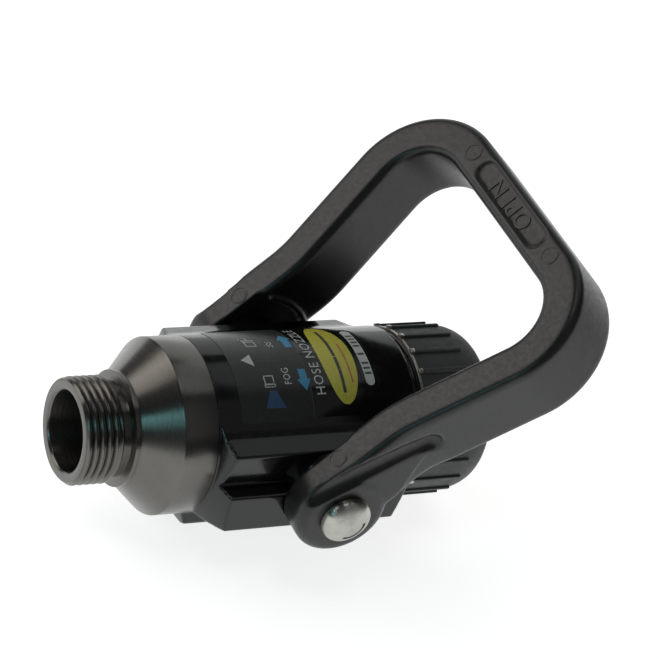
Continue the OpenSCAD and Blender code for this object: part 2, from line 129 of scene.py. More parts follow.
def block(bm, centre, size, round_by=0.0, segments=2):
    """Rounded box; returns its vertices."""
    made = bmesh.ops.create_cube(bm, size=1.0)["verts"]
    bmesh.ops.scale(bm, vec=size, verts=made)
    bmesh.ops.translate(bm, vec=centre, verts=made)
    if round_by:
        edges = list({e for v in made for e in v.link_edges})
        out = bmesh.ops.bevel(
            bm,
            geom=edges,
            offset=round_by,
            segments=segments,
            profile=0.5,
            affect="EDGES",
            clamp_overlap=True,
            material=-1,
        )
        made = list({v for f in out["faces"] for v in f.verts} | {v for v in made if v.is_valid})
    return made


def join(bm, other):
    """Add another mesh to this one."""
    mesh = bpy.data.meshes.new("join")
    other.to_mesh(mesh)
    other.free()
    bm.from_mesh(mesh)
    bpy.data.meshes.remove(mesh)


def applied(obj):
    """Bake the modifiers of an object into its mesh."""
    bpy.context.view_layer.update()
    graph = bpy.context.evaluated_depsgraph_get()
    mesh = bpy.data.meshes.new_from_object(obj.evaluated_get(graph))
    obj.modifiers.clear()
    old = obj.data
    obj.data = mesh
    bpy.data.meshes.remove(old)
    mesh.name = obj.name


def boolean(obj, tool, operation="DIFFERENCE"):
    """Cut, join or intersect an object with a tool, which is used up."""
    modifier = obj.modifiers.new("Boolean", "BOOLEAN")
    modifier.operation = operation
    modifier.solver = "EXACT"
    modifier.object = tool
    applied(obj)
    bpy.data.objects.remove(tool)


def remeshed(obj, voxel, rounds, factor=0.5):
    """Even out a mesh into small faces and soften its edges, as moulding does."""
    modifier = obj.modifiers.new("Remesh", "REMESH")
    modifier.mode = "VOXEL"
    modifier.voxel_size = voxel * MM
    applied(obj)
    bm = bmesh.new()
    bm.from_mesh(obj.data)
    for _ in range(rounds):
        bmesh.ops.smooth_vert(
            bm, verts=bm.verts[:], factor=factor, use_axis_x=True, use_axis_y=True, use_axis_z=True
        )
    bm.to_mesh(obj.data)
    bm.free()


def finish_piece(obj, body, material, nodes=(), angle=35):
    """Shade, paint and attach a finished piece."""
    obj.data.materials.clear()
    obj.data.materials.append(material)
    obj.data.shade_smooth()
    if angle:
        obj.data.set_sharp_from_angle(angle=math.radians(angle))
    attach(obj, body)
    if nodes:
        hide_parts(*nodes)
    return obj


def piece(name, bm, body, material, nodes=(), angle=35):
    """Finished piece from a mesh drawn in millimetres."""
    return finish_piece(new_object(name, bm), body, material, nodes, angle)


def mirrored_y(bm):
    """Add the mirror image across the XZ plane."""
    geom = bm.verts[:] + bm.edges[:] + bm.faces[:]
    made = bmesh.ops.duplicate(bm, geom=geom)["geom"]
    verts = [v for v in made if isinstance(v, bmesh.types.BMVert)]
    bmesh.ops.scale(bm, vec=(1, -1, 1), verts=verts)


# ---- materials ---------------------------------------------------------------------------


class Shader:
    """A Principled material and the nodes that feed it."""

    def __init__(self, name, **sockets):
        self.material = bpy.data.materials.new(name)
        self.material.use_nodes = True
        self.tree = self.material.node_tree
        self.base = self.tree.nodes["Principled BSDF"]
        for key, value in sockets.items():
            self.base.inputs[key.replace("_", " ")].default_value = value
        self.place = self.tree.nodes.new("ShaderNodeTexCoord").outputs["Object"]

    def node(self, kind, values=(), **settings):
        made = self.tree.nodes.new("ShaderNode" + kind)
        for key, value in settings.items():
            setattr(made, key, value)
        for key, value in dict(values).items():
            if isinstance(value, bpy.types.NodeSocket):
                self.tree.links.new(value, made.inputs[key])
            else:
                made.inputs[key].default_value = value
        return made

    def link(self, socket, name):
        self.tree.links.new(socket, self.base.inputs[name])

    def noise(self, scale, detail=4.0, vector=None, roughness=0.55):
        values = {"Vector": vector or self.place, "Scale": scale, "Detail": detail}
        values["Roughness"] = roughness
        return self.node("TexNoise", values).outputs["Fac"]

    def lathe_lines(self, scale):
        """Noise that changes along the waterway and outwards, but not around it."""
        flat = self.node("VectorMath", {0: self.place, 1: (0, 1, 1)}, operation="MULTIPLY")
        radius = self.node("VectorMath", {0: flat.outputs["Vector"]}, operation="LENGTH")
        parts = self.node("SeparateXYZ", {0: self.place})
        pair = self.node("CombineXYZ", {0: parts.outputs["X"], 1: radius.outputs["Value"]})
        return self.noise(scale, 3.0, pair.outputs["Vector"])

    def vary_colour(self, factor, dark, light, low=0.3, high=0.7):
        ramp = self.node("ValToRGB", {"Fac": factor})
        ramp.color_ramp.elements[0].position = low
        ramp.color_ramp.elements[0].color = (*dark, 1)
        ramp.color_ramp.elements[1].position = high
        ramp.color_ramp.elements[1].color = (*light, 1)
        self.link(ramp.outputs["Color"], "Base Color")

    def vary_roughness(self, factor, low, high):
        values = {"Value": factor, "From Min": 0.3, "From Max": 0.7, "To Min": low, "To Max": high}
        self.link(self.node("MapRange", values).outputs["Result"], "Roughness")

    def bump(self, height, distance, strength=1.0, normal=None):
        values = {"Height": height, "Distance": distance, "Strength": strength}
        if normal:
            values["Normal"] = normal
        made = self.node("Bump", values).outputs["Normal"]
        self.link(made, "Normal")
        return made

    def radial_tangent(self, axis="X"):
        self.link(self.node("Tangent", direction_type="RADIAL", axis=axis).outputs[0], "Tangent")


def anodised_black(name="Anodised_Black"):
    """Black anodised aluminium off a lathe."""
    s = Shader(name, Metallic=1.0, Anisotropic=0.8, Anisotropic_Rotation=0.25, Roughness=0.3)
    s.radial_tangent()
    lines = s.lathe_lines(9000.0)
    s.vary_colour(s.noise(90.0), (0.130, 0.126, 0.116), (0.150, 0.145, 0.133))
    s.vary_roughness(lines, 0.24, 0.34)
    s.bump(lines, 0.000003, 0.3)
    return s.material


def band_black(name="Band_Black"):
    """Satin hard coat on the adapter's band, with faint lathe lines."""
    s = Shader(name, Roughness=0.26, IOR=1.42)
    s.vary_colour(s.noise(90.0), (0.004, 0.004, 0.0045), (0.007, 0.007, 0.0075))
    lines = s.lathe_lines(6000.0)
    s.vary_roughness(lines, 0.2, 0.28)
    s.bump(lines, 0.000003, 0.2)
    return s.material


def moulded_black(name="Moulded_Black"):
    """Glossy black moulded plastic."""
    s = Shader(name, Roughness=0.15, IOR=1.5)
    s.vary_colour(s.noise(60.0), (0.0035, 0.0035, 0.004), (0.006, 0.006, 0.0065))
    s.vary_roughness(s.noise(400.0), 0.10, 0.19)
    s.bump(s.noise(1600.0, 2.0), 0.00001, 0.08)
    return s.material


def handle_nylon(name="Handle_Nylon"):
    """Satin black glass-filled nylon with a fine moulded grain."""
    s = Shader(name, Roughness=0.36, IOR=1.52)
    s.vary_colour(s.noise(50.0), (0.0055, 0.0054, 0.0052), (0.009, 0.0088, 0.0086))
    s.vary_roughness(s.noise(700.0), 0.30, 0.42)
    coarse = s.bump(s.noise(2600.0, 3.0), 0.00003, 0.2)
    s.bump(s.noise(250.0, 2.0), 0.00006, 0.1, coarse)
    return s.material


def bumper_rubber(name="Bumper_Rubber"):
    """Matte grey-green rubber, dusty in places."""
    s = Shader(name, Roughness=0.6, IOR=1.5)
    s.vary_colour(s.noise(70.0, 6.0), (0.046, 0.054, 0.048), (0.064, 0.073, 0.065))
    s.vary_roughness(s.noise(500.0), 0.5, 0.7)
    s.bump(s.noise(2200.0, 4.0), 0.00004, 0.3)
    return s.material


def polished_steel(name="Polished_Steel"):
    """Bright turned screw head with faint wipe marks."""
    s = Shader(name, Metallic=1.0, Roughness=0.3, Anisotropic=0.92, Anisotropic_Rotation=0.25)
    s.radial_tangent("Y")
    s.vary_colour(s.noise(300.0), (0.40, 0.40, 0.36), (0.48, 0.48, 0.44))
    s.vary_roughness(s.noise(900.0), 0.27, 0.36)
    s.bump(s.noise(500.0, 3.0), 0.00003, 0.12)
    return s.material


def turned_metal(name, dark, light, low, high):
    """Machined metal with lathe lines about the waterway."""
    s = Shader(name, Metallic=1.0, Roughness=(low + high) / 2)
    lines = s.lathe_lines(7000.0)
    s.vary_colour(s.noise(120.0), dark, light)
    s.vary_roughness(lines, low, high)
    s.bump(lines, 0.000006, 0.5)
    return s.material


def seal_material(name, dark, light, low, high):
    """Plain rubber or polymer with a faint texture."""
    s = Shader(name, Roughness=(low + high) / 2)
    s.vary_colour(s.noise(200.0), dark, light)
    s.vary_roughness(s.noise(600.0), low, high)
    s.bump(s.noise(1800.0), 0.00002, 0.2)
    return s.material


def printed_film(name, dark, light, low=0.3, high=0.42):
    """Printed film or ink, slightly uneven."""
    s = Shader(name, Roughness=(low + high) / 2, IOR=1.5)
    s.vary_colour(s.noise(500.0, 5.0), dark, light)
    s.vary_roughness(s.noise(900.0), low, high)
    s.bump(s.noise(2500.0, 2.0), 0.00001, 0.15)
    return s.material


def floor_material():
    """Pale matte board, lit softly from below like a light table."""
    s = Shader("Floor_Board", Roughness=0.9, Emission_Strength=0.8)
    s.base.inputs["Emission Color"].default_value = (1, 1, 1, 1)
    s.vary_colour(s.noise(3.0), (0.87, 0.87, 0.87), (0.9, 0.9, 0.9))
    s.vary_roughness(s.noise(40.0), 0.85, 0.95)
    s.bump(s.noise(300.0), 0.00005, 0.05)
    return s.material


# ---- settings ----------------------------------------------------------------------------


def length(name, description, millimetres):
    return FloatProperty(
        name=name,
        description=description,
        default=millimetres * MM,
        min=0.0,
        unit="LENGTH",
        subtype="DISTANCE",
        precision=4,
    )


def angle_of(name, description, degrees):
    return FloatProperty(
        name=name,
        description=description,
        default=math.radians(degrees),
        unit="ROTATION",
        subtype="ANGLE",
    )


class NozzleSizes(bpy.types.PropertyGroup):
    """Sizes the pieces are drawn from."""

    thread_radius: length("Thread radius", "Radius over the crests of the inlet thread", 16.62)
    thread_depth: length("Thread depth", "Crest to root of the inlet thread", 1.48)
    thread_pitch: length("Thread pitch", "Distance from crest to crest", 2.309)
    thread_length: length("Thread length", "Length of the threaded stretch", 12.5)
    body_radius: length("Body radius", "Outer radius of the body and the band", 27.5)
    bar_width: length("Bar width", "Width of the handle bar across", 13.0)
    bar_back: length("Bar back", "Depth of the bar behind the pivot plane", 15.0)
    bar_front: length("Bar front", "Depth of the bar in front of the pivot plane", 9.5)
    arm_offset: length("Arm offset", "Half distance between the arms at the pivot", 39.45)
    reach: length("Reach", "Distance from the pivot to the crossbar", 97.1)
    spread: angle_of("Spread", "Angle at which the arms spread", 14.5)
    bail_angle: angle_of("Bail angle", "Angle of the closed handle above the waterway", 48.7)
    rib_height: length("Rib height", "Height of the rubber's ribs", 1.15)
    rib_width: length("Rib width", "Width of the rubber's ribs", 1.5)
    rib_count: IntProperty(
        name="Ribs", description="Number of ribs around the rubber", default=22, min=3, max=60
    )


class NozzleStudio(bpy.types.PropertyGroup):
    """Floor, light and camera."""

    floor_size: length("Floor size", "Side of the square floor", 6000.0)
    key_radiance: FloatProperty(
        name="Key light", description="Brightness of the window light", default=2.0, min=0.0
    )
    lens: FloatProperty(
        name="Focal length",
        description="Camera focal length",
        default=155.44,
        min=1.0,
        subtype="DISTANCE_CAMERA",
    )
    world_grey: FloatProperty(
        name="World", description="Brightness of the surroundings", default=0.06, min=0.0
    )


# ---- inlet adapter -----------------------------------------------------------------------


class NOZZLE_OT_adapter(bpy.types.Operator):
    """Build the inlet adapter with its helical thread"""

    bl_idname = "nozzle.adapter"
    bl_label = "Inlet Adapter"

    def execute(self, context):
        p = context.scene.nozzle_sizes
        radius, depth = p.thread_radius / MM, p.thread_depth / MM
        pitch, end = p.thread_pitch / MM, p.thread_length / MM
        root, outer = radius - depth, p.body_radius / MM
        bm = turned(
            [
                (0, 13.1),
                (0, root + 0.45),
                (0.25, root + 0.7),
                (0.7, root - 0.1),
                (end + 0.1, root - 0.1),
                (end + 0.5, root - 0.35),
                (15.5, root - 0.35),
                (15.5, 18.0),
                (17.0, 18.0),
                (17.0, 17.6),
                (17.3, 17.6),
                (27.2, outer),
                (X_BODY - 0.06, outer),
                (X_BODY - 0.06, 22.5),
                (57.0, 22.5),
                (57.0, 12.5),
                (0.7, 12.5),
            ],
            steps=180,
        )
        round_edges(bm, 0.16, 2)
        join(bm, self.thread(radius, root, pitch, end))
        for face in bm.faces:
            face.material_index = int(face.calc_center_median().x > 27.25)
        material = anodised_black()
        obj = piece("Inlet_Adapter", bm, "nozzle_body", material, ["inlet_adapter"], 40)
        obj.data.materials.append(band_black())
        return {"FINISHED"}

    def thread(self, radius, root, pitch, end):
        """One helical sheet whose turns join at the roots."""
        per_turn, turns = 96, 8
        direction = Vector((0, -0.7528, 0.6583))
        section = [
            (-0.5, root),
            (-0.42, root + 0.06),
            (-0.13, radius - 0.16),
            (-0.06, radius - 0.03),
            (0.0, radius),
            (0.06, radius - 0.03),
            (0.13, radius - 0.16),
            (0.42, root + 0.06),
            (0.5, root),
        ]
        bm = bmesh.new()
        start = 3.1 - 2 * pitch
        verts = [bm.verts.new(X_AXIS * (start + x * pitch) + direction * r) for x, r in section]
        edges = [bm.edges.new(pair) for pair in zip(verts, verts[1:])]
        bmesh.ops.spin(
            bm,
            geom=verts + edges,
            cent=(0, 0, 0),
            axis=X_AXIS,
            dvec=X_AXIS * (pitch / per_turn),
            angle=2 * math.pi * turns,
            steps=per_turn * turns,
        )
        merged(bm, 0.01)
        for x, side in ((0.02, -1), (end + 0.4, 1)):
            bmesh.ops.bisect_plane(
                bm,
                geom=bm.verts[:] + bm.edges[:] + bm.faces[:],
                plane_co=(x, 0, 0),
                plane_no=(side, 0, 0),
                clear_outer=True,
            )
        for v in bm.verts:
            r = math.hypot(v.co.y, v.co.z)
            limit = min(root + 0.65 + 1.0 * v.co.x, radius, root - 0.2 + 1.3 * (end + 0.4 - v.co.x))
            if r > limit:
                v.co.y *= limit / r
                v.co.z *= limit / r
        return bm


# ---- body --------------------------------------------------------------------------------

# Half outline of the pads across the body, [y, z] from the top down to the base
PADS = [
    (0.0, 19.2),
    (19.3, 19.2),
    (20.6, 18.1),
    (22.6, 16.6),
    (25.2, 15.1),
    (31.0, 12.8),
    (29.9, 2.2),
    (28.6, 0.5),
    (34.5, -0.7),
    (34.5, -14.0),
    (27.5, -16.3),
    (21.2, -17.5),
    (16.7, -22.0),
    (16.7, -27.2),
    (14.5, -28.85),
    (0.0, -28.85),
]


class NOZZLE_OT_body(bpy.types.Operator):
    """Build the moulded body, its bosses and its side pads"""

    bl_idname = "nozzle.body"
    bl_label = "Body"

    def execute(self, context):
        r = context.scene.nozzle_sizes.body_radius / MM
        material = moulded_black()
        bm = turned(
            [
                (X_BODY, 22.55),
                (X_BODY, r - 0.04),
                (X_END - 1, r - 0.04),
                (X_END, r - 0.6),
                (X_END, 23.1),
                (94.4, 23.1),
                (94.4, 20.2),
                (57, 20.2),
                (57, 22.55),
            ],
            steps=200,
        )
        round_edges(bm, 0.3, 3)
        bosses = turned(
            [(20, 6.1), (34.6, 6.1), (34.6, 12.5), (20, 12.5)], Y_AXIS, 96, round_by=0.4
        )
        bmesh.ops.translate(bosses, vec=(X_PIVOT, 0, 0), verts=bosses.verts[:])
        mirrored_y(bosses)
        join(bm, bosses)
        piece("Body_Shell", bm, "nozzle_body", material, ["body_shell"], 40)
        pads = self.pads()
        finish_piece(pads, "nozzle_body", material, angle=0)
        return {"FINISHED"}

    def pads(self):
        """Flared side pads and flat foot around the body."""
        x0, x1 = X_BODY + 0.2, X_END - 0.6
        bm = bmesh.new()
        loop = PADS + [(-y, z) for y, z in reversed(PADS[1:-1])]
        face = bm.faces.new([bm.verts.new((x0, y, z)) for y, z in loop])
        made = bmesh.ops.extrude_face_region(bm, geom=[face])["geom"]
        verts = [v for v in made if isinstance(v, bmesh.types.BMVert)]
        bmesh.ops.translate(bm, vec=(x1 - x0, 0, 0), verts=verts)
        obj = new_object("Body_Pads", bm)
        flare = 15.0 / 2.2
        cone = turned(
            [
                (x0 - 1, 26.2),
                (x0, 26.2),
                (x0 + flare, 41.2),
                (x1 - flare, 41.2),
                (x1, 26.2),
                (x1 + 1, 26.2),
                (x1 + 1, 25.9),
                (x0 - 1, 25.9),
            ],
            steps=160,
        )
        boolean(obj, new_object("Flare", cone), "INTERSECT")
        remeshed(obj, 0.42, 5)
        return obj


# ---- handle ------------------------------------------------------------------------------


class NOZZLE_OT_handle(bpy.types.Operator):
    """Build the bail handle with its eyes, grip marks and raised word"""

    bl_idname = "nozzle.handle"
    bl_label = "Bail Handle"

    def execute(self, context):
        p = context.scene.nozzle_sizes
        self.front, self.back = p.bar_front / MM, p.bar_back / MM
        self.arm, self.reach = p.arm_offset / MM, p.reach / MM
        self.spread = p.spread
        self.place = (
            Matrix.Translation((X_PIVOT * MM, 0, 0))
            @ Matrix.Rotation(-p.bail_angle, 4, "Y")
        )
        material = handle_nylon()
        obj = new_object("Bail_Handle", self.bar(p.bar_width / MM))
        hollow = turned([(-35, 0), (35, 0), (35, 22.2), (-35, 22.2)], Y_AXIS, 128)
        boolean(obj, new_object("Hollow", hollow))
        for bm in self.eyes():
            boolean(obj, new_object("Eye", bm), "UNION")
        for bm in self.cuts():
            boolean(obj, new_object("Cut", bm))
        remeshed(obj, 0.55, 3)
        self.slope_cheeks(obj)
        obj.data.transform(self.place)
        finish_piece(obj, "bail", material, ["bail_handle"], angle=0)
        marks = new_object("Handle_Marks", self.marks())
        marks.data.transform(self.place)
        finish_piece(marks, "bail", material)
        self.word(material)
        return {"FINISHED"}

    def bar(self, width):
        """Sweep the bar's rounded section along one arm, the crossbar and the other arm."""
        bm = bmesh.new()
        verts = block(bm, (0, 0, (self.back - self.front) / 2), (1, width, self.back + self.front))
        bmesh.ops.delete(bm, geom=[v for v in verts if v.co.x > 0], context="VERTS")
        corners = [v for v in bm.verts]
        bmesh.ops.bevel(
            bm, geom=corners, offset=2.5, segments=5, profile=0.5, affect="VERTICES", material=-1
        )
        bmesh.ops.translate(bm, vec=(0.5, self.arm, 0), verts=bm.verts[:])
        loop = bm.edges[:]
        bend_r, corner_r, start = 40.0, 22.0, 26.0
        bend_v = start + bend_r * math.sin(self.spread)
        bend_y = self.arm + bend_r * (1 - math.cos(self.spread))
        corner_v = self.reach - corner_r
        tangent_v = corner_v - corner_r * math.sin(self.spread)
        tangent_y = bend_y + (tangent_v - bend_v) * math.tan(self.spread)
        corner_y = tangent_y - corner_r * math.cos(self.spread)
        corner = math.pi / 2 + self.spread
        loop = self.straight(bm, loop, (start, 0, 0))
        loop = self.bend(bm, loop, (start, self.arm + bend_r), self.spread, 12)
        loop = self.straight(bm, loop, (tangent_v - bend_v, tangent_y - bend_y, 0))
        loop = self.bend(bm, loop, (corner_v, corner_y), -corner, 48)
        loop = self.straight(bm, loop, (0, -2 * corner_y, 0))
        loop = self.bend(bm, loop, (corner_v, -corner_y), -corner, 48)
        loop = self.straight(bm, loop, (bend_v - tangent_v, tangent_y - bend_y, 0))
        loop = self.bend(bm, loop, (start, -self.arm - bend_r), self.spread, 12)
        loop = self.straight(bm, loop, (-start, 0, 0))
        bmesh.ops.contextual_create(bm, geom=loop)
        return bm

    def straight(self, bm, loop, step):
        made = bmesh.ops.extrude_edge_only(bm, edges=loop)["geom"]
        verts = [g for g in made if isinstance(g, bmesh.types.BMVert)]
        bmesh.ops.translate(bm, vec=step, verts=verts)
        return [g for g in made if isinstance(g, bmesh.types.BMEdge)]

    def bend(self, bm, loop, centre, angle, steps):
        made = bmesh.ops.spin(
            bm, geom=loop, cent=(*centre, 0), axis=Z_AXIS, angle=angle, steps=steps
        )["geom_last"]
        return [g for g in made if isinstance(g, bmesh.types.BMEdge)]

    def eyes(self):
        """Round eyes and the lips that wrap the body's bosses."""
        for side in (1, -1):
            profile = [(35.0, 0), (35.0, 15.3), (42.9, 15.3)]
            for a in range(15, 90, 15):
                t = math.radians(a)
                profile.append((42.9 + 3.5 * math.sin(t), 11.8 + 3.5 * math.cos(t)))
            profile += [(46.4, 11.8), (46.4, 0)]
            yield turned([(side * y, r) for y, r in profile], Y_AXIS, 96)
            bm = bmesh.new()
            lip = [(31.7, 20.5), (31.7, 22.5), (36.0, 22.5), (36.0, 20.5)]
            first = math.radians(-24)
            start = Vector((math.cos(first), 0, math.sin(first)))
            turn(
                bm,
                [(side * y, r) for y, r in lip],
                Y_AXIS,
                steps=24,
                angle=-math.radians(58),
                start=start,
            )
            yield bm

    def cuts(self):
        """Side valleys and the recess for the word."""
        for side in (1, -1):
            yield self.capsule((34.5, side * 49.3, 4.2), (-3.0, side * 48.0, 16.6), 4.7)
        bm = bmesh.new()
        block(bm, (0, 0, 0), (7.6, 40, 4))
        upright = [e for e in bm.edges if abs(e.verts[0].co.z - e.verts[1].co.z) > 1]
        bmesh.ops.bevel(
            bm, geom=upright, offset=3.6, segments=12, profile=0.5, affect="EDGES", material=-1
        )
        bmesh.ops.translate(bm, vec=(self.reach + 0.4, 0, self.back + 1.35), verts=bm.verts[:])
        yield bm

    def slope_cheeks(self, obj):
        """Let the outer faces fall away in front of the line from the eye to the bend."""
        ahead = Vector((11.4, -20.9)).normalized()
        for v in obj.data.vertices:
            along, out, up = v.co / MM
            beyond = (along - 12.0) * ahead.x + (up + 10.4) * ahead.y
            outer = min(max((abs(out) - 38) / 5, 0), 1)
            fade = min(max((36.0 - along) / 12, 0), 1)
            if beyond > 0 and outer > 0 and fade > 0:
                drop = min(beyond, 0.5) * 0.6 + beyond * 0.14
                v.co.y -= math.copysign(drop * fade * outer * MM, out)

    def capsule(self, a, b, r):
        """Round-ended bar between two points."""
        a, b = Vector(a), Vector(b)
        bm = bmesh.new()
        ball = bmesh.ops.create_uvsphere(bm, u_segments=32, v_segments=16, radius=r)["verts"]
        far = [v for v in ball if v.co.z > 1e-4]
        equator = [v for v in ball if abs(v.co.z) <= 1e-4]
        bmesh.ops.translate(bm, vec=(0, 0, (b - a).length), verts=far + equator)
        turn_to = Z_AXIS.rotation_difference((b - a).normalized()).to_matrix()
        bmesh.ops.rotate(bm, cent=(0, 0, 0), matrix=turn_to, verts=bm.verts[:])
        bmesh.ops.translate(bm, vec=a, verts=bm.verts[:])
        return bm

    def marks(self):
        """Round marks that the mould's pins leave on the rear face."""
        bm = bmesh.new()
        profile = [(-0.3, 0.0), (0.1, 0.0), (0.1, 2.55), (-0.3, 2.55)]
        rim = [(-0.3, 2.75), (0.14, 2.75), (0.14, 2.95), (-0.3, 2.95)]
        for v, y in ((10.4, 38.8), (10.4, -38.8), (self.reach + 0.6, 26), (self.reach + 0.6, -26)):
            for shape in (profile, rim):
                part = turned(shape, Z_AXIS, 48)
                bmesh.ops.translate(part, vec=(v, y, self.back), verts=part.verts[:])
                join(bm, part)
        return bm

    def word(self, material):
        """Raised word in the recess, read from the -Y side to the +Y side."""
        obj = text_object("Handle_Word", "OPEN", 8.2, 0.7, 1.0, -0.006)
        flip = Matrix(((0, -1, 0), (1, 0, 0), (0, 0, 1))).to_4x4()
        put = Matrix.Translation(((self.reach + 0.4) * MM, 0, (self.back - 0.7) * MM))
        obj.data.transform(self.place @ put @ flip)
        finish_piece(obj, "bail", material)


def text_object(name, words, size, thickness, stretch=1.0, weight=0.012):
    """Centred block letters lying in the XY plane, as a mesh."""
    curve = bpy.data.curves.new(name, "FONT")
    curve.body = words
    curve.size = size * MM
    curve.align_x = "CENTER"
    curve.align_y = "CENTER"
    curve.space_character = 1.1
    curve.resolution_u = 4
    curve.extrude = thickness / 2 * MM
    curve.offset = weight * size * MM
    source = bpy.data.objects.new(name + "_Source", curve)
    bpy.context.scene.collection.objects.link(source)
    bpy.context.view_layer.update()
    graph = bpy.context.evaluated_depsgraph_get()
    mesh = bpy.data.meshes.new_from_object(source.evaluated_get(graph))
    bpy.data.objects.remove(source)
    bpy.data.curves.remove(curve)
    mesh.name = name
    bm = bmesh.new()
    bm.from_mesh(mesh)
    bmesh.ops.scale(bm, vec=(stretch, 1, 1), verts=bm.verts[:])
    bmesh.ops.remove_doubles(bm, verts=bm.verts[:], dist=1e-6)
    bmesh.ops.recalc_face_normals(bm, faces=bm.faces[:])
    bm.to_mesh(mesh)
    bm.free()
    obj = bpy.data.objects.new(name, mesh)
    bpy.context.scene.collection.objects.link(obj)
    return obj


class NOZZLE_OT_screws(bpy.types.Operator):
    """Build the two domed pivot screws"""

    bl_idname = "nozzle.screws"
    bl_label = "Pivot Screws"

    def execute(self, context):
        material = polished_steel()
        for name, side in (("far", 1), ("near", -1)):
            r, edge = 7.95, 48.0
            profile = [(34.2, 0), (34.2, 2.4), (46.42, 2.4), (46.42, r)]
            for i in range(15):
                t = math.pi / 2 * (1 - i / 14)
                profile.append((edge + 3.38 * math.cos(t), r * math.sin(t)))
            bm = turned([(side * y, q) for y, q in profile], Y_AXIS, 96)
            round_edges(bm, 0.35, 3, 40)
            bmesh.ops.translate(bm, vec=(X_PIVOT, 0, 0), verts=bm.verts[:])
            node = "pivot_screw_" + name
            piece("Pivot_Screw_" + name, bm, "bail", material, [node])
            # Painted shade: a dark, rough film laid on the lower front of each dome, where shade
            # falls.
            slot = turned_metal("Painted_Shade_Arc", (0.015, 0.015, 0.015), (0.03, 0.03, 0.03), 0.4, 0.6)
            mark = self.mark(side)
            piece("Screw_Shade_Arc_" + name, mark, "bail", slot)
        return {"FINISHED"}

    def mark(self, side):
        """Dark arc of painted shade near the lower front rim of a screw's dome."""
        bm = turned([(50.2, 4.4), (50.88, 4.4), (50.52, 5.35), (49.9, 5.35)], Y_AXIS, 96)
        bmesh.ops.scale(bm, vec=(1, side, 1), verts=bm.verts[:])
        for degrees, keep in ((-100, 1), (10, -1)):
            a = math.radians(degrees)
            bmesh.ops.bisect_plane(
                bm,
                geom=bm.verts[:] + bm.edges[:] + bm.faces[:],
                plane_co=(0, 0, 0),
                plane_no=(keep * math.sin(a), 0, -keep * math.cos(a)),
                clear_outer=True,
            )
        bmesh.ops.holes_fill(bm, edges=bm.edges[:], sides=0)
        bmesh.ops.translate(bm, vec=(X_PIVOT, 0, 0), verts=bm.verts[:])
        return bm


# ---- pattern sleeve ----------------------------------------------------------------------


def around(bm, verts, count, first):
    """Copy a drawn part around the waterway, the first one turned by an angle."""
    bmesh.ops.rotate(bm, cent=(0, 0, 0), matrix=Matrix.Rotation(first, 3, "X"), verts=verts)
    geom = set(verts)
    for v in verts:
        geom.update(v.link_edges)
        geom.update(v.link_faces)
    bmesh.ops.spin(
        bm,
        geom=list(geom),
        cent=(0, 0, 0),
        axis=X_AXIS,
        angle=2 * math.pi * (count - 1) / count,
        steps=count - 1,
        use_duplicate=True,
    )


class NOZZLE_OT_sleeve(bpy.types.Operator):
    """Build the index ring and the pattern sleeve's core"""

    bl_idname = "nozzle.sleeve"
    bl_label = "Ring and Core"

    def execute(self, context):
        p = context.scene.nozzle_sizes
        ring = turned(
            [
                (X_RING, 21.6),
                (X_RING, 26.6),
                (X_RING + 1.6, 26.6),
                (X_RING + 1.6, 22.9),
                (X_RING + 11.6, 22.9),
                (X_RING + 11.6, 21.6),
            ],
            steps=180,
            round_by=0.25,
        )
        made = moulded_black("Ring_Plastic")
        piece("Index_Ring", ring, "turning_ring", made, ["index_ring"])
        core = turned(
            [
                (X_CORE, 23.05),
                (X_CORE, 27.1),
                (X_CORE + 0.9, 27.1),
                (X_CORE + 0.9, 25.2),
                (X_FRONT - 3, 25.2),
                (X_FRONT - 3, 21.0),
                (133.9, 21.6),
                (122.1, 21.6),
                (122.1, 23.05),
            ],
            steps=180,
            round_by=0.15,
        )
        lugs = bmesh.new()
        verts = block(lugs, (X_CORE + 1.0, 0, 26.6), (1.7, p.rib_width / MM, 2.7), 0.2)
        around(lugs, verts, p.rib_count, math.radians(5.9))
        join(core, lugs)
        material = turned_metal("Core_Alloy", (0.42, 0.41, 0.37), (0.52, 0.5, 0.46), 0.3, 0.45)
        piece("Sleeve_Core", core, "sleeve", material, ["sleeve_core"])
        return {"FINISHED"}


class NOZZLE_OT_bumper(bpy.types.Operator):
    """Build the ribbed rubber bumper over the sleeve"""

    bl_idname = "nozzle.bumper"
    bl_label = "Bumper"

    def execute(self, context):
        p = context.scene.nozzle_sizes
        profile = [(X_CORE + 1, 25.25), (X_CORE + 1, 26.9)]
        nose_x, edge = 128.6, 21.4
        for i in range(17):
            t = math.pi / 2 * i / 16
            profile.append(
                (nose_x + (X_FRONT - nose_x) * math.sin(t), edge + (26.9 - edge) * math.cos(t))
            )
        profile += [(X_FRONT, 20.5), (X_FRONT - 0.5, 20.0)]
        profile += [(X_FRONT - 2.9, 20.0), (X_FRONT - 2.9, 25.25)]
        bm = turned(profile, steps=200)
        ribs = bmesh.new()
        high, wide = p.rib_height / MM - 0.3, p.rib_width / MM
        x0, x1 = X_CORE + 1.9, 130.1
        verts = block(
            ribs, ((x0 + x1) / 2, 0, 25.9 + (high + 1) / 2), (x1 - x0, wide, high + 1), 0.3, 3
        )
        around(ribs, verts, p.rib_count, math.radians(5.9))
        join(bm, ribs)
        piece("Bumper", bm, "sleeve", bumper_rubber(), ["bumper"], 45)
        return {"FINISHED"}


